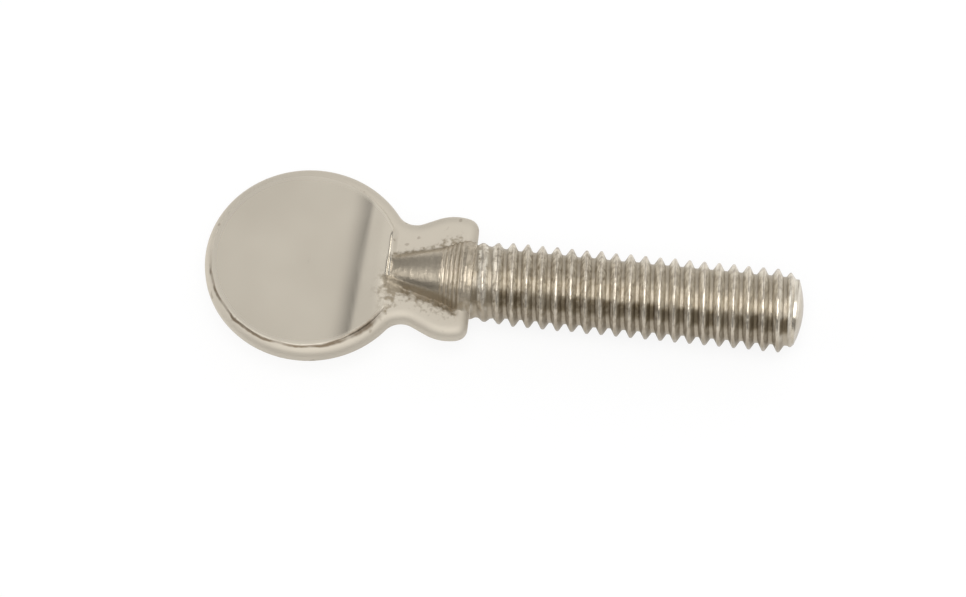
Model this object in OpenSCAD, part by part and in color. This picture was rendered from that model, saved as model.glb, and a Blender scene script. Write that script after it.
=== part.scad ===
// Spade-head thumb screw, forged and rolled in one piece.
// +X runs along the screw's axis to the tip, and +Z is square to the flat faces of the head.
// The origin is on the axis, in the plane where the shoulder ends and the threaded shank starts.

/* [Thread] */
// Outside diameter of the thread
thread_d = 4; // [3:0.1:6]
// Pitch of the thread, which sets how deep the tip is chamfered
thread_pitch = 0.7; // [0.35:0.05:1]
// Length of the threaded shank, from the shoulder to the tip
thread_l = 15.7; // [6:0.1:40]
// Angle of the tip's chamfer, from the axis
tip_a = 22; // [15:1:45]
// Distance that the end of the tip lies below the thread's root
tip_relief = 0.06; // [0:0.02:0.2]

/* [Head] */
// Diameter of the round head
head_d = 9.9; // [7:0.1:16]
// Thickness of the forged rim, neck and shoulder
rim_t = 1; // [0.8:0.05:1.5]
// Radius of the rounded edge that runs round the rim, neck and shoulder
edge_r = 0.35; // [0.1:0.05:0.45]

/* [Flat face] */
// Height of the coined flat face above the rim
face_rise = 0.1; // [0.05:0.05:0.4]
// Width of the rim left round the flat face
face_margin = 0.45; // [0.3:0.05:1]
// Distance that the flat face is set off centre, away from the shank
face_shift = 0.15; // [0:0.05:0.3]
// Radius of the edge of the flat face
face_edge_r = 0.08; // [0.02:0.02:0.2]
// Distance from the neck's narrowest place back to the straight end of the flat face
face_setback = 0.95; // [0.6:0.05:1.4]

/* [Neck and shoulder] */
// Width of the neck at its narrowest place
neck_w = 5.1; // [3.6:0.1:5.6]
// Radius of the fillet between the head and the neck
neck_fillet_r = 0.95; // [0.6:0.05:1.6]
// Angle at which the neck flares out to the shoulder
flare_a = 26; // [14:1:34]
// Width of the shoulder
shoulder_w = 6.4; // [5.9:0.1:9]
// Radius of the shoulder's crown
crown_r = 2.2; // [1.2:0.1:3]
// Angle at which the crown turns over into the corner
crown_lean = 15; // [0:1:25]
// Radius of the shoulder's corners
corner_r = 0.6; // [0.5:0.05:1]

/* [Round core] */
// Diameter of the core where it runs out of the flat face
core_d = 1.6; // [1.3:0.05:2.4]
// Diameter of the core where its flare to the collar starts
waist_d = 2.8; // [2.2:0.05:3.1]
// Diameter of the turned collar
collar_d = 3.65; // [3.2:0.05:4]
// Length of the collar, up to the shoulder's end
collar_l = 0.55; // [0.3:0.05:1]
// Length of the flare between the core and the collar
core_flare_l = 1; // [0.5:0.05:1.4]
// Angle of the ramp that rises from the flat face to the core
ramp_a = 45; // [30:1:70]

/* [Hidden] */

// Depth of a metric thread, as a share of its pitch
thread_depth = 0.6134 * thread_pitch;
thread_r = thread_d / 2;
tip_r = thread_r - thread_depth - tip_relief;
tip_l = (thread_r - tip_r) / tan(tip_a);

// The outline is a chain of tangent arcs, laid out from the shoulder's end back to the head
corner_c = [-corner_r, shoulder_w / 2 - crown_r + (crown_r - corner_r) * cos(crown_lean)];
crown_c = [corner_c.x - (crown_r - corner_r) * sin(crown_lean), shoulder_w / 2 - crown_r];
bend_r = neck_fillet_r + crown_r;
flare_l = ((shoulder_w - neck_w) / 2 - bend_r * (1 - cos(flare_a))) / sin(flare_a);
neck_x = crown_c.x - bend_r * sin(flare_a) - flare_l * cos(flare_a);
neck_c = [neck_x, neck_w / 2 + neck_fillet_r];
head_r = head_d / 2;
head_x = neck_x - sqrt(pow(head_r + neck_fillet_r, 2) - pow(neck_c.y, 2));
head_a = atan2(neck_c.y, neck_x - head_x);

face_z = rim_t / 2 + face_rise;
face_r = head_r - face_margin;
face_x = head_x - face_shift;
face_end = neck_x - face_setback;

// The core's hidden start lies this far inside the head
core_bury = 0.4;
// The ramp starts this far inside the end of the flat face, and runs on as far below it
ramp_inset = face_rise / 2;

// Steps along the arcs of the outline and across the rounded edges
head_steps = 30;
bend_steps = 7;
edge_steps = 4;
$fn = 96;

function arc(c, r, from, to, steps) =
    [for (i = [0:steps]) let (a = from + (to - from) * i / steps) c + r * [cos(a), sin(a)]];

function without_first(list) = [for (i = [1:len(list) - 1]) list[i]];

// One side of the outline, from the head's far end to the shoulder's end, moved in by inset
function half_outline(inset) = concat(
    arc([head_x, 0], head_r - inset, 180, head_a, head_steps),
    without_first(arc(neck_c, neck_fillet_r + inset, head_a + 180, 270 + flare_a, bend_steps)),
    arc(crown_c, crown_r - inset, 90 + flare_a, 90 - crown_lean, bend_steps),
    without_first(arc(corner_c, corner_r - inset, 90 - crown_lean, 0, bend_steps)));

// The closed outline at one step a across the edge, on the upper or the lower side
function edge_ring(a, side) =
    let (
        half = half_outline(edge_r * (1 - cos(a))),
        z = side * (rim_t / 2 - edge_r) + edge_r * sin(a),
        last = len(half) - 1)
    concat(
        [for (p = half) [p.x, p.y, z]],
        [for (i = [last:-1:1]) [half[i].x, -half[i].y, z]]);

// Head, neck and shoulder as one plate with a rounded edge, lofted ring by ring
module forged_plate() {
    rings = concat(
        [for (i = [0:edge_steps]) edge_ring(-90 + 90 * i / edge_steps, -1)],
        [for (i = [0:edge_steps]) edge_ring(90 * i / edge_steps, 1)]);
    count = len(rings[0]);
    half = (count - 1) / 2;
    top = (len(rings) - 1) * count;
    walls = [for (k = [0:len(rings) - 2], j = [0:count - 1])
        let (n = (j + 1) % count)
        [k * count + j, k * count + n, (k + 1) * count + n, (k + 1) * count + j]];
    // Each flat is a row of strips from one side of the outline to the other
    upper = concat(
        [[top, top + 1, top + count - 1]],
        [for (i = [1:half - 1]) [top + i, top + i + 1, top + count - i - 1, top + count - i]]);
    lower = concat(
        [[count - 1, 1, 0]],
        [for (i = [1:half - 1]) [count - i, count - i - 1, i + 1, i]]);
    polyhedron([for (ring = rings, p = ring) p], concat(walls, upper, lower), convexity = 4);
}

// The pair of coined flat faces, round with a straight end at the neck
module flat_faces() {
    profile = concat(
        [[0, -face_z]],
        arc([face_r - face_edge_r, face_edge_r - face_z], face_edge_r, -90, 0, edge_steps),
        arc([face_r - face_edge_r, face_z - face_edge_r], face_edge_r, 0, 90, edge_steps),
        [[0, face_z]]);
    intersection() {
        translate([face_x, 0, 0]) rotate_extrude() polygon(profile);
        translate([face_end - head_d, -head_d / 2, -rim_t]) cube([head_d, head_d, 2 * rim_t]);
    }
}

// Round core, collar and shank, turned about the screw's axis
module turned_core() {
    core_r = core_d / 2;
    waist_r = waist_d / 2;
    collar_r = collar_d / 2;
    waist_x = -collar_l - core_flare_l;
    taper = (waist_r - core_r) / (waist_x - face_end);
    rotate([0, 90, 0]) rotate_extrude() polygon([
        [0, face_end - core_bury],
        [core_r - core_bury * taper, face_end - core_bury],
        [waist_r, waist_x],
        [collar_r, -collar_l],
        [collar_r, 0],
        [thread_r, 0],
        [thread_r, thread_l - tip_l],
        [tip_r, thread_l],
        [0, thread_l]]);
}

// Wedges of space over the flat faces, with the ramps to the core at their ends
module ramp_space() {
    height = waist_d;
    start = face_end - ramp_inset;
    for (side = [0, 1])
        mirror([0, 0, side])
            rotate([90, 0, 0])
                linear_extrude(2 * waist_d, center = true)
                    polygon([
                        [face_end - head_d, face_z - ramp_inset],
                        [start - ramp_inset / tan(ramp_a), face_z - ramp_inset],
                        [start + height / tan(ramp_a), face_z + height],
                        [face_end - head_d, face_z + height]]);
}

module thumb_screw() {
    color([0.74, 0.71, 0.65]) union() {
        forged_plate();
        flat_faces();
        difference() {
            turned_core();
            ramp_space();
        }
    }
}

thumb_screw();
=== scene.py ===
"""Looks of the thumb screw: plated metal, rolled thread, lathe ridges, studio light and camera."""

import math

import bmesh
import bpy
from mathutils import Matrix, Vector, noise


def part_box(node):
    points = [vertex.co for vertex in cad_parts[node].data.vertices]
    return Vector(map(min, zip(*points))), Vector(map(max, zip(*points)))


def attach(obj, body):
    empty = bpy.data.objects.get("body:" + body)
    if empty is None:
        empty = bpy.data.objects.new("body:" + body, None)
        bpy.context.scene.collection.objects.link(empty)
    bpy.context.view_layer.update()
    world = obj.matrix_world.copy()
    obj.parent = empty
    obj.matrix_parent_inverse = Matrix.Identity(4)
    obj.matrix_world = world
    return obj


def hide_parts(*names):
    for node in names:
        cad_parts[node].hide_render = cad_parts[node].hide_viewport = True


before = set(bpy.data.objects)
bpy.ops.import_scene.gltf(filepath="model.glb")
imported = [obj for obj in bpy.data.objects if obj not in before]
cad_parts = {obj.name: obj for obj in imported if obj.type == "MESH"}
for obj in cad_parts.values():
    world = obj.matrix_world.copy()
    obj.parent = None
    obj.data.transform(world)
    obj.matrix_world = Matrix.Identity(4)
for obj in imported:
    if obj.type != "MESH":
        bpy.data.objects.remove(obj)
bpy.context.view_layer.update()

# Shapes are worked out in millimetres and turned into metres when their mesh is made
MM = 0.001
NODE = "thumb_screw"

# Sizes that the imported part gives
box_low, box_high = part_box(NODE)
HEAD_R = box_high.y / MM
HEAD_X = box_low.x / MM + HEAD_R
THREAD_R = box_high.z / MM
THREAD_L = box_high.x / MM

# A span of two values is where something rises; four values are where it rises and where it falls

# Forged plate: head, neck and shoulder
RIM_H = 0.5
EDGE_W = 0.5
EDGE_H = 0.38
NECK_W = 5.1
NECK_FILLET_R = 0.95
FLARE = math.radians(26)
SHOULDER_W = 6.4
CROWN_R = 2.2
CROWN_LEAN = math.radians(15)
CORNER_R = 0.6

# Coined flat faces
FACE_RISE = 0.1
FACE_MARGIN = 0.45
FACE_SHIFT = 0.15
FACE_Z = RIM_H + FACE_RISE
FACE_R = HEAD_R - FACE_MARGIN
FACE_X = HEAD_X - FACE_SHIFT
FACE_EDGE_R = 0.08
FACE_SETBACK = 0.95
FACE_FOOT = 0.02
FACE_FADE = 0.5
FACE_SINK = 0.006
END_DROP = 0.04
SPILL_L = 0.35
SPILL_SIDE = (1.8, 2.15)
# Height, layer of noise and length of the waves in the faces
FACE_WAVES = ((0.004, 0.0, 3.1), (0.0015, 4.0, 1.1))

# Shallow step that the coining die left across each face
STEP_RISE = 0.07
STEP_RUN = 1.05
STEP_X = -5.27
STEP_SKEW = math.tan(math.radians(2.9))

# Small lip along the straight end of each face, mostly on its far side
LIP_H = 0.09
LIP_SPAN = (-0.1, 0.0, 0.02, 0.32)
LIP_ENDS = (-0.9, -0.4, 1.5, 2.0)
LIP_TOP = 0.15
LIP_LEVEL = 0.85
LIP_UNEVEN = 0.4
LIP_GRAIN = 0.6

# Round core and collar
CORE_R = 0.8
WAIST_R = 1.4
COLLAR_R = 1.825
COLLAR_L = 0.55
CORE_FLARE_L = 1.0
CORE_BEND = 0.06
RAMP = math.radians(45)
RAMP_INSET = 0.05
RAMP_BEND = 0.05
RAMP_FADE = 0.05
RAMP_FILLET = 0.02
WING_FILLET = 0.24
WING_FILLET_END = 0.3
WING_FILLET_TURN = math.radians(9)
SETTLE_L = 0.7
# Height given to places beside the core, well below the plate's upper side
BESIDE_CORE = -1.0

# Hollow along the near foot of the core
HOLLOW_D = 0.17
HOLLOW_SPAN = (-3.7, -2.9, -0.9, -0.4)
HOLLOW_REACH = (-0.12, 0.05, 0.12, 0.5)
HOLLOW_UNEVEN = 0.6
HOLLOW_GRAIN = 0.5

# Lathe ridges on the collar, and the one that the thread's run-out left
RIDGE_PITCH = 0.21
RIDGE_HEIGHT = 0.03
RIDGE_FROM = -1.6
RIDGE_TO = -0.5
RIDGE_SPAN = (RIDGE_FROM, RIDGE_FROM + 0.15, RIDGE_TO - 0.04, RIDGE_TO)
RIDGE_GROWTH = (0.75, 1.25)
RIDGE_GROWS = (-1.4, -0.8)
RIDGE_UNEVEN = 0.5
RIDGE_GRAIN = 0.13
RUN_OUT_RIDGE = 0.045
RUN_OUT_X = -0.32
RUN_OUT_W = 0.1

# Rolled thread, right-hand
PITCH = 0.7
THREAD_DEPTH = 0.6134 * PITCH
GROOVE_DEPTH = 0.38
CREST_HALF = 0.075
FLANK_END = 0.375
CREST_DOME = 1.2
CREST_BEND = 0.14
ROOT_BEND = 0.16
CREST_AT = 0.28
CREST_SINK = 0.03
CREST_RISE_L = 1.9
THREAD_START = 0.05
RUN_OUT = (-0.3, 2.0)
RUN_OUT_DEPTH = 0.25 * THREAD_DEPTH
# Height, length and seed of the uneven wear along the thread
THREAD_WAVES = ((0.026, 0.9, 7.0), (0.014, 0.33, 3.0))

# Stub at the tip, and its rounded end
TIP_R = THREAD_R - THREAD_DEPTH - 0.02
TIP_A = math.radians(50)
TIP_CROWN = 0.32
STUB_X = THREAD_L - 0.48
STUB_SKEW = 0.3
STUB_BEND = 0.1
STUB_DEPTH = 0.3 * THREAD_DEPTH
STUB_FADE = 0.25

# Marks on the mesh that tell the material where the plating differs, from 0 to 1
SATIN_EDGE = 0.12
SATIN_FOOT = 0.15
CORE_SATIN = 0.1
CORE_TARNISH = 0.9
TARNISH_START = 0.1
TARNISH_FOOT = 0.1
COLLAR_FROM = (-1.9, -1.2)
TIP_TARNISH = 0.6
TIP_TARNISH_FADE = 0.2
THREAD_WEAR = 0.22
THREAD_WEAR_END = (5.0, 12.0)
# Least mark of depth on the thread, which tells its crests from the plain core
CREST_MARK = 0.05

# Rough plating: a ragged band at the near foot of the core, a thinner one at the far foot,
# a patch where the core starts, and some on the near wing, in the ridges and on the collar
# The wide band at the near foot and the patch are partly painted shade: dark specks standing in for
# the dark lower side of the core
WEAR_AND_SHADE_SPAN = (-4.5, -3.8, -0.9, -0.4)
NEAR_START = (-0.22, -0.08)
NEAR_END = (0.1, 0.75)
NEAR_RAGGED = 0.3
NEAR_GRAIN = 0.3
FAR_WEAR = 0.55
FAR_START = (-0.12, 0.0)
FAR_END = 0.05
FAR_SPREAD = (0.3, 0.75)
FAR_SPREADS = (-2.2, -1.4)
WING_WEAR = 0.13
WING_START = (0.0, 0.2)
PATCH_WEAR_AND_SHADE = 0.62
PATCH_AT = (-3.9, -1.1)
PATCH_SIZE = (0.45, 0.75)
VALLEY_WEAR = 0.65
VALLEY_SPAN = (0.1, -0.7)
COLLAR_WEAR = 0.3
COLLAR_WORN = (-0.7, -0.4)
PIT_DEPTH = 0.035
PIT_GRAIN = 0.16
PIT_TOP = 0.1

# Painted dark reflection: brown painted between the crests, by degrees down the near side and by
# place along the pitch
DARK_REFLECTION_SIDE = (32.0, 42.0, 60.0, 72.0)
DARK_REFLECTION_SWAY = 7.0
DARK_REFLECTION_SWAY_L = 1.1
DARK_REFLECTION_PLACE = (0.09, 0.2, 0.6, 0.76)
DARK_REFLECTION_LEVEL = 0.85
DARK_REFLECTION_UNEVEN = 0.5
DARK_REFLECTION_GRAIN = 1.3

# Rows of the mesh: across the rim, across the edge of the face, and from there to the middle
RIM_ROWS = 16
WORN_FROM_ROW = 9
PAD_ROWS = 6
CORE_ROWS = 24
FILLET_ROWS = 4
LAST_ROW = RIM_ROWS + CORE_ROWS
# Lines of the mesh, from the head's far end to the seat, and rings of the tip's end
DISC_LINES = 84
DISC_TURN = math.radians(100)
PAD_LINES = (0.08, 0.06, 0.042, 0.026, 0.013, 0.004)
NECK_START = 0.006
NECK_LINES = 60
NECK_CROWDING = 1.25
RIDGE_STATION = 0.026
RIDGE_LINES = round((RIDGE_TO + 0.05 - RIDGE_FROM) / RIDGE_STATION)
SEAT_LINES = 22
TIP_RINGS = 5
# Rows over half a pitch of the thread, closer together at the crest and the root
HALF_PITCH = [0.025, 0.05, 0.075, 0.1, 0.14, 0.2, 0.26, 0.31, 0.35, 0.385, 0.42, 0.46]
PHASES = [-0.5] + [-u for u in reversed(HALF_PITCH)] + [0.0] + HALF_PITCH
TURNS_BEFORE = 3
WELD = 2e-7
SHARP_ANGLE = math.radians(42)

# Colours of the plating
PLATE_DARK = (0.67, 0.61, 0.51)
PLATE_LIGHT = (0.73, 0.668, 0.563)
SATIN_COLOUR = (0.68, 0.63, 0.545)
CORE_COLOUR = (0.58, 0.51, 0.405)
CREST_COLOUR = (0.74, 0.67, 0.56)
# Painted light: the thread's flanks are coloured lighter than its crests
PAINTED_LIGHT_FLANK_COLOUR = (0.9, 0.85, 0.75)
ROOT_COLOUR = (0.46, 0.41, 0.335)
# Painted shade on the lower side of the core and the thread
LOWER_SHADE_COLOUR = (0.31, 0.262, 0.195)
BLOTCH_COLOUR = (0.36, 0.31, 0.24)
ROOT_BROWN = (0.46, 0.405, 0.32)
# Painted dark reflection between the crests on the near side
DARK_REFLECTION_COLOUR = (0.2, 0.158, 0.1)
PIT_COLOUR = (0.42, 0.36, 0.29)
SPECK_COLOUR = (0.38, 0.325, 0.245)
FOOT_LINE_COLOUR = (0.22, 0.175, 0.125)

# The outline is a chain of tangent arcs, as in the part's source
corner_y = SHOULDER_W / 2 - CROWN_R + (CROWN_R - CORNER_R) * math.cos(CROWN_LEAN)
corner_c = Vector((-CORNER_R, corner_y))
crown_x = corner_c.x - (CROWN_R - CORNER_R) * math.sin(CROWN_LEAN)
crown_c = Vector((crown_x, SHOULDER_W / 2 - CROWN_R))
bend_r = NECK_FILLET_R + CROWN_R
flare_l = ((SHOULDER_W - NECK_W) / 2 - bend_r * (1 - math.cos(FLARE))) / math.sin(FLARE)
neck_x = crown_c.x - bend_r * math.sin(FLARE) - flare_l * math.cos(FLARE)
neck_c = Vector((neck_x, NECK_W / 2 + NECK_FILLET_R))
head_a = math.atan2(neck_c.y, neck_x - HEAD_X)
FACE_END = neck_x - FACE_SETBACK
RAMP_START = FACE_END - RAMP_INSET
DISC_END = FACE_END - 0.12
DISC_END_A = math.acos((DISC_END - HEAD_X) / HEAD_R)


def mix(a, b, t):
    return a + (b - a) * t


def smoothstep(low, high, value):
    t = min(max((value - low) / (high - low), 0.0), 1.0)
    return t * t * (3.0 - 2.0 * t)


def window(value, span):
    """Rises from 0 to 1 over the first two values of a span and falls back over the last two."""
    start, full, fading, end = span
    return smoothstep(start, full, value) * (1.0 - smoothstep(fading, end, value))


def smooth_max(a, b, width):
    """The larger of two heights, with a fillet of about this width between them."""
    gap = max(width - abs(a - b), 0.0)
    return max(a, b) + gap * gap / (4.0 * max(width, 1e-6))


def smooth_min(a, b, width):
    return -smooth_max(-a, -b, width)


def rough(x, y, z, scale, seed=0.0):
    """Smooth noise from about -1 to 1, the same on every run."""
    return noise.noise(Vector((x / scale + seed, y / scale, z / scale)))


def arc_y(centre, radius, x, side):
    return centre.y + side * math.sqrt(max(radius * radius - (x - centre.x) ** 2, 0.0))


def half_width(x, inset):
    """Half the width of the plate at x, for its outline moved in by inset."""
    if x < HEAD_X + (HEAD_R - inset) * math.cos(head_a):
        return arc_y(Vector((HEAD_X, 0.0)), HEAD_R - inset, x, 1)
    neck_r = NECK_FILLET_R + inset
    flare_from = neck_c + neck_r * Vector((math.sin(FLARE), -math.cos(FLARE)))
    if x < flare_from.x:
        return arc_y(neck_c, neck_r, x, -1)
    if x < crown_c.x - (CROWN_R - inset) * math.sin(FLARE):
        return flare_from.y + (x - flare_from.x) * math.tan(FLARE)
    if x < corner_c.x + (CORNER_R - inset) * math.sin(CROWN_LEAN):
        return arc_y(crown_c, CROWN_R - inset, x, 1)
    return arc_y(corner_c, CORNER_R - inset, x, 1)


def rim_z(inset):
    """Height of the plate's upper side at a distance in from its outline."""
    if inset >= EDGE_W:
        return RIM_H
    return RIM_H - EDGE_H + EDGE_H * math.sqrt(1.0 - (1.0 - inset / EDGE_W) ** 2)


def rim_steps(inset_end, flat):
    """Insets, heights and flat runs from the middle of the edge to the foot of what stands on it."""
    land = RIM_H - EDGE_H
    mean_r = (EDGE_W + EDGE_H) / 2
    turn = math.acos(max(1.0 - inset_end / EDGE_W, 0.0))
    total = land + mean_r * turn + flat
    steps = []
    for k in range(RIM_ROWS):
        s = total * k / RIM_ROWS
        a = min(max((s - land) / mean_r, 0.0), turn)
        run = max(s - land - mean_r * turn, 0.0)
        z = s if s < land else land + EDGE_H * math.sin(a)
        steps.append((EDGE_W * (1.0 - math.cos(a)), z, run))
    return steps


def crossing(axis_point, rim_point, centre_x, radius):
    """Where the line from the axis to the rim meets a circle about a centre on the axis."""
    d = rim_point - axis_point
    to_axis = axis_point - Vector((centre_x, 0.0))
    b = d.dot(to_axis)
    c = to_axis.dot(to_axis) - radius * radius
    t = (-b + math.sqrt(max(b * b - d.dot(d) * c, 0.0))) / d.dot(d)
    return axis_point + d * t


def pad_edge(foot_z):
    """Radius and height of each row up the edge of the flat face."""
    rows = [(FACE_R + FACE_FOOT, foot_z)]
    turns = PAD_ROWS - 2
    for k in range(turns + 1):
        a = math.pi / 2 * k / turns
        r = FACE_R - FACE_EDGE_R * (1.0 - math.cos(a))
        rows.append((r, FACE_Z - FACE_EDGE_R + FACE_EDGE_R * math.sin(a)))
    return rows


def pad_share(z):
    """Share of the face's height above the rim."""
    return max((z - RIM_H) / (FACE_Z - RIM_H), 0.0)


def face_drop(x, y):
    """How far the face lies below its highest level: the coining step and a slight waviness."""
    edge = STEP_X + STEP_SKEW * y
    t = min(max((x - edge + STEP_RUN) / STEP_RUN, 0.0), 1.0)
    wave = sum(height * rough(x, y, layer, length) for height, layer, length in FACE_WAVES)
    end = END_DROP * (1.0 - smoothstep(0.0, FACE_FADE, FACE_END - x))
    return STEP_RISE * (1.0 - t * t) + end + FACE_SINK + wave


def face_spill(x, y):
    """How far the face still stands above the neck, past its straight end."""
    height = FACE_Z - RIM_H - FACE_SINK - END_DROP
    along = 1.0 - smoothstep(0.0, SPILL_L, x - FACE_END)
    return height * along * (1.0 - smoothstep(*SPILL_SIDE, abs(y)))


def lip(x, y, z):
    """Height of the lip, which fades out where the core rises above the face."""
    shape = window(x - FACE_END, LIP_SPAN) * window(y, LIP_ENDS)
    below = 1.0 - smoothstep(FACE_Z, FACE_Z + LIP_TOP, abs(z))
    return LIP_H * shape * below * (LIP_LEVEL + LIP_UNEVEN * rough(x, y, 2.0, LIP_GRAIN))


def ridge_share(x):
    """Share of the ridges' height along the collar, growing towards the shoulder's end."""
    return window(x, RIDGE_SPAN) * mix(*RIDGE_GROWTH, smoothstep(*RIDGE_GROWS, x))


def ridge_wave(x):
    return math.sin(2.0 * math.pi * x / RIDGE_PITCH) + RIDGE_UNEVEN * rough(x, 0.0, 0.0, RIDGE_GRAIN)


def core_radius(x):
    """Radius of the tapered core and the turned collar, with its lathe ridges."""
    waist_x = -COLLAR_L - CORE_FLARE_L
    cone = mix(CORE_R, WAIST_R, (x - FACE_END) / (waist_x - FACE_END))
    flare = mix(WAIST_R, COLLAR_R, (x - waist_x) / CORE_FLARE_L)
    r = min(smooth_max(cone, flare, CORE_BEND), COLLAR_R)
    run_out = RUN_OUT_RIDGE * math.exp(-((x - RUN_OUT_X) / RUN_OUT_W) ** 2)
    return r + RIDGE_HEIGHT * ridge_share(x) * ridge_wave(x) + run_out


def core_foot(x):
    """Distance from the axis to where the core meets the plate's upper side."""
    return math.sqrt(max(core_radius(x) ** 2 - RIM_H ** 2, 0.1))


def core_z(x, y, radius):
    inside = radius * radius - y * y
    if inside <= 0.0:
        return BESIDE_CORE
    ramp = FACE_Z + (x - RAMP_START) * math.tan(RAMP)
    return smooth_min(math.sqrt(inside), ramp, RAMP_BEND)


def disc_line(angle):
    """Rows of one line over the head, from the rim to the axis, with each one's share of the face."""
    rim_point = Vector((HEAD_X + HEAD_R * math.cos(angle), HEAD_R * math.sin(angle)))
    lean = smoothstep(DISC_TURN, DISC_END_A, angle)
    axis_point = Vector((HEAD_X + HEAD_R * math.cos(angle) * lean, 0.0))
    foot = crossing(axis_point, rim_point, FACE_X, FACE_R + FACE_FOOT)
    inset = HEAD_R - (foot - Vector((HEAD_X, 0.0))).length
    rows = []
    for step_in, z, run in rim_steps(min(inset, EDGE_W), max(inset - EDGE_W, 0.0)):
        p = crossing(axis_point, rim_point, HEAD_X, HEAD_R - step_in - run)
        rows.append((p.x, p.y, z, 0.0))
    for r, z in pad_edge(rim_z(inset)):
        p = crossing(axis_point, rim_point, FACE_X, r)
        rows.append((p.x, p.y, z, pad_share(z)))
    flat_rows = LAST_ROW - len(rows) + 1
    for k in range(1, flat_rows + 1):
        q = p.lerp(axis_point, k / flat_rows)
        rows.append((q.x, q.y, FACE_Z, 1.0))
    return rows


def pad_rows_y(x):
    """Places across the face at x: the rows up its edge, then the rows to the middle."""
    places = []
    for r, z in pad_edge(RIM_H):
        places.append(math.sqrt(r * r - (x - FACE_X) ** 2))
    flat_rows = CORE_ROWS - PAD_ROWS + 1
    last = places[-1]
    for k in range(1, flat_rows + 1):
        places.append(last * (1.0 - k / flat_rows))
    return places


def wing_rows(x, inset, foot):
    """Rows from the middle of the edge to the foot of what stands on the plate at x."""
    rows = []
    for step_in, z, run in rim_steps(inset, half_width(x, inset) - foot):
        rows.append((x, half_width(x, step_in) - run, z, 0.0))
    return rows


def pad_line(x):
    """Rows of a straight line over the face, close to its end at the neck."""
    foot = math.sqrt((FACE_R + FACE_FOOT) ** 2 - (x - FACE_X) ** 2)
    rows = wing_rows(x, min(EDGE_W, -x), foot)
    radius = core_radius(x)
    heights = [z for r, z in pad_edge(RIM_H)]
    for k, y in enumerate(pad_rows_y(x)):
        z = heights[k] if k < PAD_ROWS else FACE_Z
        ramp = core_z(x, y, radius)
        share = pad_share(z) * (1.0 - smoothstep(FACE_Z - RAMP_FADE, FACE_Z, ramp))
        rows.append((x, y, smooth_max(z, ramp, RAMP_FILLET), share))
    return rows


def core_rows_y(radius, wing_z, fillet):
    """Places across the core: through the fillet at its foot, then by even angles to the top."""
    side = math.sqrt(max(radius * radius - wing_z * wing_z, 0.01))
    foot_a = math.atan2(wing_z, side)
    fillet_a = foot_a + WING_FILLET_TURN * min(fillet / WING_FILLET, 1.0)
    first = FILLET_ROWS if fillet > 0.0 else 0
    places = []
    for k in range(CORE_ROWS + 1):
        if k < first:
            places.append(mix(side + fillet, radius * math.cos(fillet_a), k / first))
            continue
        a = mix(fillet_a, math.pi / 2, (k - first) / (CORE_ROWS - first))
        places.append(radius * math.cos(a))
    return places


def neck_line(x):
    """Rows of a straight line across the wing and the core, from the neck to the shoulder's end."""
    inset = min(EDGE_W, -x)
    wing_z = rim_z(inset)
    radius = core_radius(x)
    fillet = WING_FILLET * smoothstep(0.0, WING_FILLET_END, -x)
    settle = smoothstep(0.0, SETTLE_L, x - FACE_END)
    core_y = core_rows_y(radius, wing_z, fillet)
    if settle < 1.0:
        core_y = [mix(a, b, settle) for a, b in zip(pad_rows_y(FACE_END), core_y)]
    rows = wing_rows(x, inset, core_y[0])
    for y in core_y:
        plate_z = wing_z + face_spill(x, y)
        rows.append((x, y, smooth_max(plate_z, core_z(x, y, radius), fillet), 0.0))
    return rows


def quarter_lines():
    """Lines over one quarter of the head, neck and shoulder, from the head's far end to the seat."""
    lines = [disc_line(mix(math.pi, DISC_END_A, k / DISC_LINES)) for k in range(DISC_LINES + 1)]
    for back in PAD_LINES:
        lines.append(pad_line(FACE_END - back))
    for k in range(NECK_LINES):
        along = (k / NECK_LINES) ** NECK_CROWDING
        lines.append(neck_line(mix(FACE_END + NECK_START, RIDGE_FROM, along)))
    for k in range(RIDGE_LINES):
        lines.append(neck_line(RIDGE_FROM + RIDGE_STATION * k))
    last = RIDGE_FROM + RIDGE_STATION * RIDGE_LINES
    for k in range(SEAT_LINES + 1):
        lines.append(neck_line(last * (1.0 - math.sin(math.pi / 2 * k / SEAT_LINES))))
    return lines


def thread_profile(u):
    """Share of the thread's height at a phase from -0.5 to 0.5, with the crest at 0."""
    flank = (FLANK_END - abs(u)) / (FLANK_END - CREST_HALF)
    return smooth_max(smooth_min(flank, 1.0 - CREST_DOME * u * u, CREST_BEND), 0.0, ROOT_BEND)


def thread_radius(x, angle, u):
    """Radius of the shank, and how deep in a groove that place is, from 0 to 1."""
    y, z = math.cos(angle), math.sin(angle)
    worn = sum(h * rough(x, 2.0 * y, 2.0 * z, length, seed) for h, length, seed in THREAD_WAVES)
    crest = mix(COLLAR_R, THREAD_R - CREST_SINK, smoothstep(0.0, CREST_RISE_L, x))
    stub_x = STUB_X + STUB_SKEW * max(-z, 0.0)
    taper = TIP_R + max(stub_x - x, 0.0) * math.tan(TIP_A)
    crest = smooth_min(crest, taper, STUB_BEND)
    root = mix(crest - RUN_OUT_DEPTH, THREAD_R - GROOVE_DEPTH, smoothstep(*RUN_OUT, x))
    root = min(root, crest - STUB_DEPTH * smoothstep(0.0, STUB_FADE, stub_x - x))
    height = thread_profile(u)
    return min(mix(root, crest, height) + worn, THREAD_R), 1.0 - height


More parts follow.
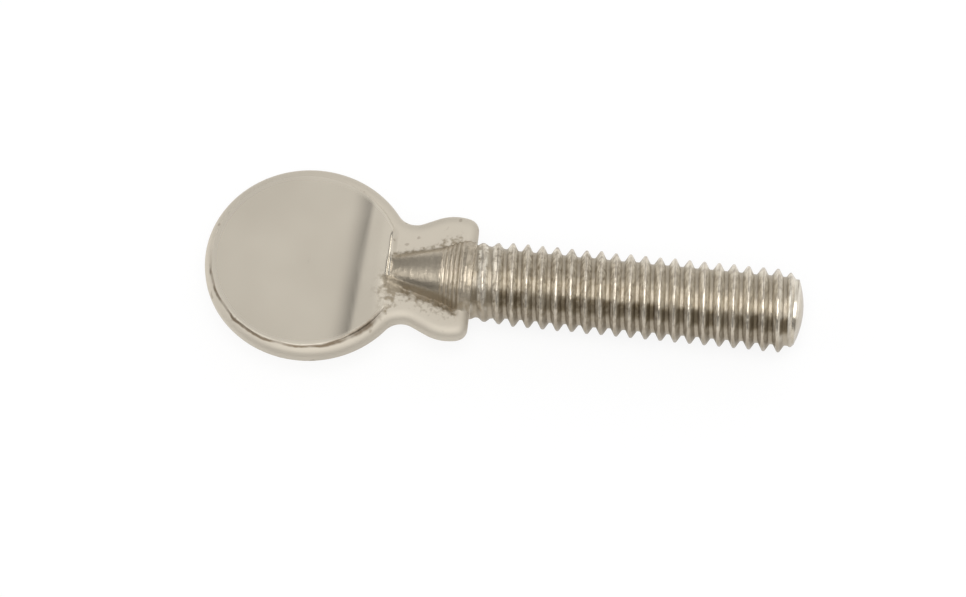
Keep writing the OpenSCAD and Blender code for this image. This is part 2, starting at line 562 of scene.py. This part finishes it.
def groove_dark_reflection(x, angle, u):
    """Painted dark reflection between the crests on the near side, mostly on the flank that faces the
    tip.
    """
    theta = math.degrees(angle) - 90.0
    start, full, fading, end = DARK_REFLECTION_SIDE
    sway = DARK_REFLECTION_SWAY * rough(x, 0.0, 0.0, DARK_REFLECTION_SWAY_L, 4.0)
    near = smoothstep(start, full, theta + sway) * (1.0 - smoothstep(fading, end, theta))
    between = window(u if u > 0.0 else u + 1.0, DARK_REFLECTION_PLACE)
    uneven = DARK_REFLECTION_LEVEL + DARK_REFLECTION_UNEVEN * rough(x, angle, 0.0, DARK_REFLECTION_GRAIN, 11.0)
    return min(near * between * uneven, 1.0)


def satin(p):
    """How dull the plating is: the rim and the wings are, the coined face and the core aren't."""
    if p.x < FACE_END:
        inside = FACE_R - math.hypot(p.x - FACE_X, p.y)
        return 1.0 - smoothstep(0.0, SATIN_EDGE, inside)
    foot = core_foot(p.x)
    return mix(CORE_SATIN, 1.0, smoothstep(foot - SATIN_FOOT, foot + SATIN_FOOT, abs(p.y)))


def core_tarnish(p):
    """Share of tarnish on the core and the collar, from 0 to 1."""
    if p.x < FACE_END + TARNISH_START:
        return 0.0
    foot = core_foot(p.x)
    on_core = 1.0 - smoothstep(foot - TARNISH_FOOT, foot + TARNISH_FOOT, abs(p.y))
    return on_core * mix(CORE_TARNISH, 1.0, smoothstep(*COLLAR_FROM, p.x))


def neck_wear_and_shade(p):
    """Rough plating at the foot of the core and round the neck, from 0 to 1, partly painted shade at
    the near foot.
    """
    reach = abs(p.y) - core_foot(p.x)
    # Near side: partly painted shade, a wide band of dark specks
    if p.y < 0.0:
        ragged = reach + NEAR_RAGGED * rough(p.x, p.y, 0.0, NEAR_GRAIN, 9.0)
        band = smoothstep(*NEAR_START, reach) * (1.0 - smoothstep(*NEAR_END, ragged))
        band = max(band, WING_WEAR * smoothstep(*WING_START, reach))
    else:
        spread = mix(*FAR_SPREAD, smoothstep(*FAR_SPREADS, p.x))
        band = FAR_WEAR * smoothstep(*FAR_START, reach) * (1.0 - smoothstep(FAR_END, spread, reach))
    # The patch is partly painted shade too
    patch_x = (p.x - PATCH_AT[0]) / PATCH_SIZE[0]
    patch_y = (p.y - PATCH_AT[1]) / PATCH_SIZE[1]
    patch = PATCH_WEAR_AND_SHADE * math.exp(-patch_x ** 2) * math.exp(-patch_y ** 2)
    on_core = 1.0 - smoothstep(-TARNISH_FOOT, TARNISH_FOOT, reach)
    collar = COLLAR_WEAR * smoothstep(*COLLAR_WORN, p.x)
    valleys = VALLEY_WEAR * ridge_share(p.x) * smoothstep(*VALLEY_SPAN, ridge_wave(p.x))
    return min(window(p.x, WEAR_AND_SHADE_SPAN) * band + patch + (valleys + collar) * on_core, 1.0)


def foot_hollow(p):
    """Depth of the hollow that the forging left along the near foot of the core."""
    if p.y > 0.0 or p.x < FACE_END:
        return 0.0
    shape = window(p.x, HOLLOW_SPAN) * window(-p.y - core_foot(p.x), HOLLOW_REACH)
    return HOLLOW_D * shape * (1.0 + HOLLOW_UNEVEN * rough(p.x, p.y, p.z, HOLLOW_GRAIN, 2.0))


def whole_loop(rows):
    """Mirrors the rows of a quarter line to a loop round the plate, as row, share and place."""
    up = [(k, share, Vector((x, y, z))) for k, (x, y, z, share) in enumerate(rows)]
    mirror_y = [(k, share, Vector((p.x, -p.y, p.z))) for k, share, p in up]
    upper = up + mirror_y[-2::-1]
    under = [(k, share, Vector((p.x, p.y, -p.z))) for k, share, p in upper]
    return upper + under[-2:0:-1]


def add_head(verts, faces, marks):
    """Adds the head, neck and shoulder, loop by loop, and gives back the last loop."""
    loops = []
    for rows in quarter_lines():
        start = len(verts)
        for row, share, p in whole_loop(rows):
            wear_and_shade = neck_wear_and_shade(p) if row >= WORN_FROM_ROW else 0.0
            marks["wear_and_shade"][len(verts)] = wear_and_shade
            marks["satin"][len(verts)] = satin(p)
            marks["tarnish"][len(verts)] = core_tarnish(p)
            pits = min(rough(p.x, p.y, p.z, PIT_GRAIN, 5.0), PIT_TOP)
            relief = PIT_DEPTH * wear_and_shade * pits - foot_hollow(p)
            if row >= RIM_ROWS:
                relief += lip(p.x, p.y, p.z) - share * face_drop(p.x, p.y)
            p.z += relief if p.z > 0.0 else -relief
            verts.append(p)
        loops.append(list(range(start, len(verts))))
    for a, b in zip(loops, loops[1:]):
        add_band(faces, a, b)
    return loops[-1]


def add_band(faces, a, b):
    """Joins two loops that have the same number of places."""
    for k in range(len(a)):
        n = (k + 1) % len(a)
        faces.append((a[k], b[k], b[n], a[n]))


def add_seat(verts, faces, loop):
    """Closes the wings' ends at the seat, and gives back the loop that the shank starts from."""
    quarter = LAST_ROW
    side_a = len(verts)
    verts.append(Vector((0.0, COLLAR_R, 0.0)))
    side_b = len(verts)
    verts.append(Vector((0.0, -COLLAR_R, 0.0)))
    wing = RIM_ROWS
    total = len(loop)
    faces.append([loop[k % total] for k in range(-wing, wing + 1)] + [side_a])
    faces.append([loop[2 * quarter + k] for k in range(-wing, wing + 1)] + [side_b])
    upper = loop[wing:2 * quarter - wing + 1]
    lower = loop[2 * quarter + wing:total - wing + 1]
    return [side_a] + upper + [side_b] + lower


def thread_grid(verts, marks, angles):
    """Places on a grid that follows the helix, held between the seat and the tip."""
    tip_x = THREAD_L - TIP_CROWN
    first = CREST_AT - PITCH * TURNS_BEFORE
    turns = math.ceil((tip_x - first) / PITCH) + 1
    grid = []
    for turn in range(turns):
        for row_phase in PHASES:
            base = first + PITCH * (turn + row_phase)
            line = []
            for angle in angles:
                x = min(max(base + PITCH * angle / (2.0 * math.pi), THREAD_START), tip_x)
                phase = (x - CREST_AT) / PITCH - angle / (2.0 * math.pi)
                phase = phase - math.floor(phase + 0.5)
                r, groove = thread_radius(x, angle, phase)
                bright = smoothstep(STUB_X - TIP_TARNISH_FADE, STUB_X, x)
                marks["groove"][len(verts)] = max(groove, CREST_MARK)
                # Painted dark reflection between the crests on the near side
                marks["dark_reflection"][len(verts)] = groove_dark_reflection(x, angle, phase)
                marks["wear_and_shade"][len(verts)] = THREAD_WEAR * (1.0 - smoothstep(*THREAD_WEAR_END, x))
                marks["tarnish"][len(verts)] = mix(1.0, TIP_TARNISH, bright)
                line.append(len(verts))
                verts.append(Vector((x, r * math.cos(angle), r * math.sin(angle))))
            grid.append(line)
    return grid


def add_tip(verts, faces, marks, ring, angles):
    """Closes the shank with a slightly domed end."""
    for k in range(1, TIP_RINGS + 1):
        share = 1.0 - k / TIP_RINGS
        x = THREAD_L - TIP_CROWN * share * share
        r = TIP_R * share
        inner = []
        for angle in angles:
            inner.append(len(verts))
            marks["tarnish"][len(verts)] = TIP_TARNISH
            verts.append(Vector((x, r * math.cos(angle), r * math.sin(angle))))
        add_band(faces, ring, inner)
        ring = inner


def add_shank(verts, faces, seat, marks):
    """Adds the thread from the seat to the tip, and the tip's end."""
    angles = [math.atan2(verts[i].z, verts[i].y) % (2.0 * math.pi) for i in seat]
    grid = thread_grid(verts, marks, angles)
    per_turn = len(PHASES)
    for i in range(len(grid) - 1):
        for j in range(len(seat) - 1):
            faces.append((grid[i][j], grid[i + 1][j], grid[i + 1][j + 1], grid[i][j + 1]))
        # The last column meets the first one a turn further on
        if i + 1 + per_turn < len(grid):
            far = (grid[i + 1 + per_turn][0], grid[i + per_turn][0])
            faces.append((grid[i][-1], grid[i + 1][-1]) + far)
    add_band(faces, seat, grid[0])
    add_tip(verts, faces, marks, grid[-1], angles)


def screw_mesh():
    """One closed mesh of the whole screw, with marks for where its plating differs."""
    verts = []
    faces = []
    marks = {"groove": {}, "dark_reflection": {}, "wear_and_shade": {}, "satin": {}, "tarnish": {}}
    last_loop = add_head(verts, faces, marks)
    seat = add_seat(verts, faces, last_loop)
    add_shank(verts, faces, seat, marks)
    mesh = bpy.data.meshes.new("thumb_screw_plated")
    mesh.from_pydata([v * MM for v in verts], [], faces)
    for name, values in marks.items():
        attribute = mesh.attributes.new(name, "FLOAT", "POINT")
        for index, value in values.items():
            attribute.data[index].value = value
    work = bmesh.new()
    work.from_mesh(mesh)
    bmesh.ops.remove_doubles(work, verts=work.verts, dist=WELD)
    bmesh.ops.dissolve_degenerate(work, edges=work.edges, dist=WELD)
    bmesh.ops.recalc_face_normals(work, faces=work.faces)
    for face in work.faces:
        face.smooth = True
    for edge in work.edges:
        edge.smooth = edge.is_manifold and edge.calc_face_angle(0.0) < SHARP_ANGLE
    work.to_mesh(mesh)
    work.free()
    return mesh


class Graph:
    """Nodes of one material or world; each method adds a node and gives back its output."""

    def __init__(self, tree):
        self.nodes = tree.nodes
        self.links = tree.links
        self.nodes.clear()

    def add(self, kind, operation=None):
        node = self.nodes.new("ShaderNode" + kind)
        if operation is not None:
            node.operation = operation
        return node

    def feed(self, socket, value):
        """Links a socket to an output, or sets it to a number, a direction or a colour."""
        if isinstance(value, bpy.types.NodeSocket):
            self.links.new(value, socket)
        elif socket.type == "RGBA":
            socket.default_value = (*value, 1.0)
        else:
            socket.default_value = value

    def noise(self, coords, scale, detail):
        node = self.add("TexNoise")
        node.inputs["Scale"].default_value = scale
        node.inputs["Detail"].default_value = detail
        self.feed(node.inputs["Vector"], coords)
        return node.outputs["Fac"]

    def mark(self, name):
        node = self.add("Attribute")
        node.attribute_name = name
        return node.outputs["Fac"]

    def split(self, vector):
        node = self.add("SeparateXYZ")
        self.feed(node.inputs["Vector"], vector)
        return node.outputs

    def vector(self, operation, a, b=None, output="Vector"):
        node = self.add("VectorMath", operation)
        self.feed(node.inputs[0], a)
        if b is not None:
            self.feed(node.inputs[1], b)
        return node.outputs[output]

    def math(self, operation, a, b, clamp=True):
        node = self.add("Math", operation)
        node.use_clamp = clamp
        self.feed(node.inputs[0], a)
        self.feed(node.inputs[1], b)
        return node.outputs["Value"]

    def times(self, first, *others):
        """Product of several shares, held between 0 and 1."""
        product = first
        for other in others:
            product = self.math("MULTIPLY", product, other)
        return product

    def mix(self, share, a, b, blend="MIX"):
        node = self.add("Mix")
        node.data_type = "RGBA"
        node.blend_type = blend
        self.feed(node.inputs["Factor"], share)
        self.feed(node.inputs["A"], a)
        self.feed(node.inputs["B"], b)
        return node.outputs["Result"]

    def ramp(self, value, stops):
        """Colours at places along a value."""
        node = self.add("ValToRGB")
        ends = node.color_ramp.elements
        while len(ends) < len(stops):
            ends.new(0.5)
        for end, (place, colour) in zip(ends, stops):
            end.position = place
            end.color = (*colour, 1.0)
        self.feed(node.inputs["Fac"], value)
        return node.outputs["Color"]

    def levels(self, value, stops):
        """Grey levels at places along a value."""
        return self.ramp(value, [(place, grey(level)) for place, level in stops])

    def range(self, value, source, target, source_unit=1.0, target_unit=1.0):
        node = self.add("MapRange")
        node.inputs["From Min"].default_value = source[0] * source_unit
        node.inputs["From Max"].default_value = source[1] * source_unit
        node.inputs["To Min"].default_value = target[0] * target_unit
        node.inputs["To Max"].default_value = target[1] * target_unit
        self.feed(node.inputs["Value"], value)
        return node.outputs["Result"]


def grey(value):
    return (value, value, value)


def new_material(name):
    material = bpy.data.materials.new(name)
    material.use_nodes = True
    return material, Graph(material.node_tree)


def foot_dark_line(graph, coords, patchy):
    """Dark brown line in the corner along the near side of the flat face, wider towards the neck."""
    flat = graph.vector("MULTIPLY", coords, (1.0, 1.0, 0.0))
    reach = graph.vector("DISTANCE", flat, (FACE_X * MM, 0.0, 0.0), "Value")
    place = graph.split(coords)
    near = graph.range(place["Y"], (0.2, -1.2), (0.0, 1.0), MM)
    left = graph.range(place["X"], (FACE_END, FACE_END - 0.4), (0.0, 1.0), MM)
    width = graph.range(place["X"], (FACE_X + 1.0, FACE_X + 3.0), (0.08, 0.22), MM, MM)
    sway = graph.range(patchy, (0.3, 0.7), (-0.04, 0.04), 1.0, MM)
    line = graph.math("ADD", sway, (FACE_R + 0.04) * MM, False)
    off = graph.math("SUBTRACT", reach, line, False)
    off = graph.math("ABSOLUTE", off, 0.0, False)
    ring = graph.math("SUBTRACT", 1.0, graph.math("DIVIDE", off, width, False))
    strength = 1.7
    patches = graph.levels(patchy, [(0.35, 0.45), (0.55, 1.0)])
    return graph.times(graph.times(ring, strength), graph.times(near, left), patches)


def plating_patterns(graph):
    """Noise and marks that the colour, the gloss and the grain of the plating share."""
    coords = graph.add("TexCoord").outputs["Object"]
    stretched = graph.vector("MULTIPLY", coords, (1.0, 0.35, 0.35))
    patterns = {name: graph.mark(name) for name in ("groove", "dark_reflection", "wear_and_shade", "satin", "tarnish")}
    patterns["broad"] = graph.noise(coords, 260.0, 2.0)
    patterns["fine"] = graph.noise(coords, 1300.0, 2.0)
    patterns["dots"] = graph.noise(coords, 1900.0, 1.0)
    patterns["spots"] = graph.noise(coords, 4200.0, 3.0)
    patterns["streaks"] = graph.noise(stretched, 7000.0, 3.0)
    place = graph.split(coords)
    # Painted shade: how much darker towards the lower side
    patterns["low"] = graph.range(place["Z"], (1.2, 0.1), (0.0, 0.9), MM)
    rolled = graph.range(place["X"], COLLAR_FROM, (0.4, 1.0), MM)
    patterns["grained"] = graph.times(rolled, patterns["tarnish"])
    patterns["foot_line"] = foot_dark_line(graph, coords, patterns["fine"])
    return patterns


def rolled_colour(graph, patterns):
    """Bright, satin and rolled metal, with painted shade on the lower side, painted light on the
    flanks, and blotched on the thread.
    """
    groove = patterns["groove"]
    tarnish = patterns["tarnish"]
    plate = graph.ramp(patterns["broad"], [(0.3, PLATE_DARK), (0.7, PLATE_LIGHT)])
    frosted = graph.mix(patterns["satin"], plate, SATIN_COLOUR)
    # Painted light: flanks lighter than the crests and the roots
    flanks = [(0.3, PAINTED_LIGHT_FLANK_COLOUR), (0.75, PAINTED_LIGHT_FLANK_COLOUR)]
    stops = [(0.0, CORE_COLOUR), (CREST_MARK, CREST_COLOUR)] + flanks + [(1.0, ROOT_COLOUR)]
    colour = graph.mix(tarnish, frosted, graph.ramp(groove, stops))
    # Painted shade on the lower side
    colour = graph.mix(graph.times(patterns["low"], tarnish), colour, LOWER_SHADE_COLOUR)
    dull = graph.levels(patterns["streaks"], [(0.4, 0.0), (0.64, 0.58)])
    return graph.mix(graph.times(dull, patterns["grained"]), colour, BLOTCH_COLOUR)


def plating_colour(graph, patterns):
    """The metal's colour with painted dark reflection between the crests, pits, specks that are
    partly painted shade, and a dark corner line on it.
    """
    colour = rolled_colour(graph, patterns)
    # Brown in the roots of the thread, broken up by noise, and patches of painted dark reflection
    # between the crests
    broken = graph.levels(patterns["fine"], [(0.3, 0.45), (0.65, 1.0)])
    roots = graph.math("POWER", patterns["groove"], 5.0)
    colour = graph.mix(graph.times(roots, broken, patterns["tarnish"]), colour, ROOT_BROWN)
    colour = graph.mix(graph.times(patterns["dark_reflection"], 0.96), colour, DARK_REFLECTION_COLOUR)
    # A few faint pits in the satin plating
    pits = graph.levels(patterns["dots"], [(0.69, 0.0), (0.74, 0.55)])
    colour = graph.mix(graph.times(pits, patterns["satin"]), colour, PIT_COLOUR)
    # Dark specks in the rough plating round the neck, partly painted shade at its near foot, and a
    # dark line in the corner of the flat face
    dense = graph.math("ADD", patterns["spots"], graph.times(patterns["wear_and_shade"], 0.4), False)
    specks = graph.levels(dense, [(0.56, 0.0), (0.8, 0.95)])
    specks = graph.times(specks, graph.times(patterns["wear_and_shade"], 6.0))
    colour = graph.mix(specks, colour, SPECK_COLOUR)
    return graph.mix(patterns["foot_line"], colour, FOOT_LINE_COLOUR)


def plating_roughness(graph, patterns):
    """Glossy face and crests, duller flanks, dull satin, worn places and the dark corner line."""
    gloss = graph.levels(patterns["broad"], [(0.3, 0.21), (0.75, 0.26)])
    stops = [(0.0, 0.34), (CREST_MARK, 0.28), (0.4, 0.55), (0.8, 0.5), (1.0, 0.46)]
    level = graph.mix(patterns["tarnish"], gloss, graph.levels(patterns["groove"], stops))
    for name, value in (("satin", 0.7), ("wear_and_shade", 0.6), ("foot_line", 0.55)):
        level = graph.mix(patterns[name], level, grey(value))
    return level


def plating_grain(graph, patterns):
    """Fine grain of the rough plating and of the rolled metal."""
    half = graph.times(patterns["tarnish"], 0.5)
    coarse = graph.math("MAXIMUM", patterns["wear_and_shade"], half)
    coarse = graph.math("MULTIPLY", patterns["spots"], coarse, False)
    streaks = graph.times(patterns["streaks"], patterns["grained"])
    bump = graph.add("Bump")
    bump.inputs["Strength"].default_value = 0.8
    bump.inputs["Distance"].default_value = 0.05 * MM
    graph.feed(bump.inputs["Height"], graph.math("ADD", coarse, streaks, False))
    return bump.outputs["Normal"]


def nickel():
    """Plated metal: warm grey, polished face, satin rim, rough neck, tarnished thread."""
    material, graph = new_material("nickel_plate")
    out = graph.add("OutputMaterial")
    shader = graph.add("BsdfPrincipled")
    graph.feed(out.inputs["Surface"], shader.outputs["BSDF"])
    shader.inputs["Metallic"].default_value = 1.0
    patterns = plating_patterns(graph)
    graph.feed(shader.inputs["Base Color"], plating_colour(graph, patterns))
    graph.feed(shader.inputs["Roughness"], plating_roughness(graph, patterns))
    graph.feed(shader.inputs["Normal"], plating_grain(graph, patterns))
    return material


def build_screw():
    screw = bpy.data.objects.new("thumb_screw_plated", screw_mesh())
    bpy.context.scene.collection.objects.link(screw)
    screw.data.materials.append(nickel())
    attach(screw, "root")
    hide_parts(NODE)


def floor_white():
    """White to the camera and to reflections, but for a share that takes a soft shadow."""
    glow_share = 0.85
    material, graph = new_material("floor_white")
    out = graph.add("OutputMaterial")
    plain = graph.add("BsdfDiffuse")
    graph.feed(plain.inputs["Color"], grey(0.95))
    glow = graph.add("Emission")
    glow.inputs["Strength"].default_value = 1.015
    path = graph.add("LightPath").outputs
    seen = graph.math("MAXIMUM", path["Is Camera Ray"], path["Is Glossy Ray"])
    seen = graph.math("MAXIMUM", seen, path["Is Transmission Ray"])
    blend = graph.add("MixShader")
    graph.feed(blend.inputs["Fac"], graph.times(seen, glow_share))
    graph.feed(blend.inputs[1], plain.outputs["BSDF"])
    graph.feed(blend.inputs[2], glow.outputs["Emission"])
    graph.feed(out.inputs["Surface"], blend.outputs["Shader"])
    return material


def build_floor():
    """Pale floor under the shank."""
    side = 0.6
    mesh = bpy.data.meshes.new("floor")
    corners = [(-side, -side, 0), (side, -side, 0), (side, side, 0), (-side, side, 0)]
    mesh.from_pydata(corners, [], [(0, 1, 2, 3)])
    floor = bpy.data.objects.new("floor", mesh)
    floor.location.z = box_low.z
    bpy.context.scene.collection.objects.link(floor)
    mesh.materials.append(floor_white())


def direction_levels(graph, value, stops):
    """Grey levels along one axis of the directions round the scene, from -1 to 1."""
    shift = graph.add("Math", "MULTIPLY_ADD")
    shift.inputs[1].default_value = 0.5
    shift.inputs[2].default_value = 0.5
    graph.feed(shift.inputs[0], value)
    return graph.levels(shift.outputs["Value"], [((place + 1) / 2, level) for place, level in stops])


def build_world():
    """Pale studio that is light behind and above, with a dark front horizon and dimmer sides."""
    world = bpy.data.worlds.new("studio")
    bpy.context.scene.world = world
    world.use_nodes = True
    graph = Graph(world.node_tree)
    out = graph.add("OutputWorld")
    back = graph.add("Background")
    graph.feed(out.inputs["Surface"], back.outputs["Background"])
    direction = graph.add("TexCoord").outputs["Generated"]
    along_axis = graph.split(direction)["X"]
    # The direction square to the screw's axis, from the front to the back
    upright = graph.vector("NORMALIZE", graph.vector("MULTIPLY", direction, (0.0, 1.0, 1.0)))
    front_to_back = graph.split(upright)["Y"]
    across = [(-1.0, 1.0), (-0.8, 0.9), (-0.64, 0.55), (-0.5, 0.24), (-0.28, 0.3)]
    across += [(-0.12, 1.0), (0.3, 1.0), (0.6, 0.85), (0.95, 0.8)]
    depth = [(-1.0, 0.32), (-0.8, 0.26), (-0.68, 0.75), (-0.3, 0.9)]
    depth += [(0.2, 0.85), (0.45, 0.74), (0.7, 0.95)]
    ends = [(-1.0, 0.5), (-0.82, 0.4), (-0.7, 0.0), (0.65, 0.0), (0.82, 0.2), (1.0, 0.25)]
    sides = direction_levels(graph, along_axis, across)
    light = graph.mix(1.0, sides, direction_levels(graph, front_to_back, depth), "MULTIPLY")
    light = graph.mix(1.0, light, direction_levels(graph, along_axis, ends), "LIGHTEN")
    graph.feed(back.inputs["Color"], light)


def add_softbox(name, direction, size, radiance):
    """Rectangular softbox that faces the origin; its power follows from its area and radiance."""
    distance = 0.8
    lamp = bpy.data.lights.new(name, "AREA")
    lamp.shape = "RECTANGLE"
    lamp.size, lamp.size_y = size
    lamp.energy = radiance * math.pi * size[0] * size[1]
    place = bpy.data.objects.new(name, lamp)
    away = Vector(direction).normalized()
    place.location = away * distance
    place.rotation_euler = away.to_track_quat("Z", "Y").to_euler()
    bpy.context.scene.collection.objects.link(place)


def build_camera():
    """Long lens that looks down on the screw, framed as the photo is."""
    azimuth = math.radians(6.17)
    elevation = math.radians(64)
    distance = 0.35
    px_per_m = 21.1 / MM
    image_w, image_h = 966, 597
    seat_px = (473.2, 281.0)
    right = Vector((math.cos(azimuth), math.sin(azimuth), 0.0))
    flat = math.cos(elevation)
    back = Vector((math.sin(azimuth) * flat, -math.cos(azimuth) * flat, math.sin(elevation)))
    up = back.cross(right)
    target = right * ((image_w / 2 - seat_px[0]) / px_per_m)
    target = target - up * ((image_h / 2 - seat_px[1]) / px_per_m)
    data = bpy.data.cameras.new("camera")
    data.sensor_width = 36.0
    data.lens = px_per_m * distance * data.sensor_width / image_w
    data.clip_start = 0.01
    data.clip_end = 10.0
    camera = bpy.data.objects.new("camera", data)
    camera.matrix_world = Matrix((right, up, back)).transposed().to_4x4()
    camera.location = target + back * distance
    bpy.context.scene.collection.objects.link(camera)
    bpy.context.scene.camera = camera


build_screw()
build_floor()
build_world()
add_softbox("softbox_top", (0.02, -0.31, 0.95), (0.45, 0.68), 3.1)
add_softbox("softbox_cone", (-0.47, -0.39, 0.79), (0.34, 0.30), 0.8)
add_softbox("softbox_left", (-0.97, 0.2, 0.09), (0.6, 0.24), 2.0)
build_camera()
bpy.context.scene.view_settings.view_transform = "Standard"
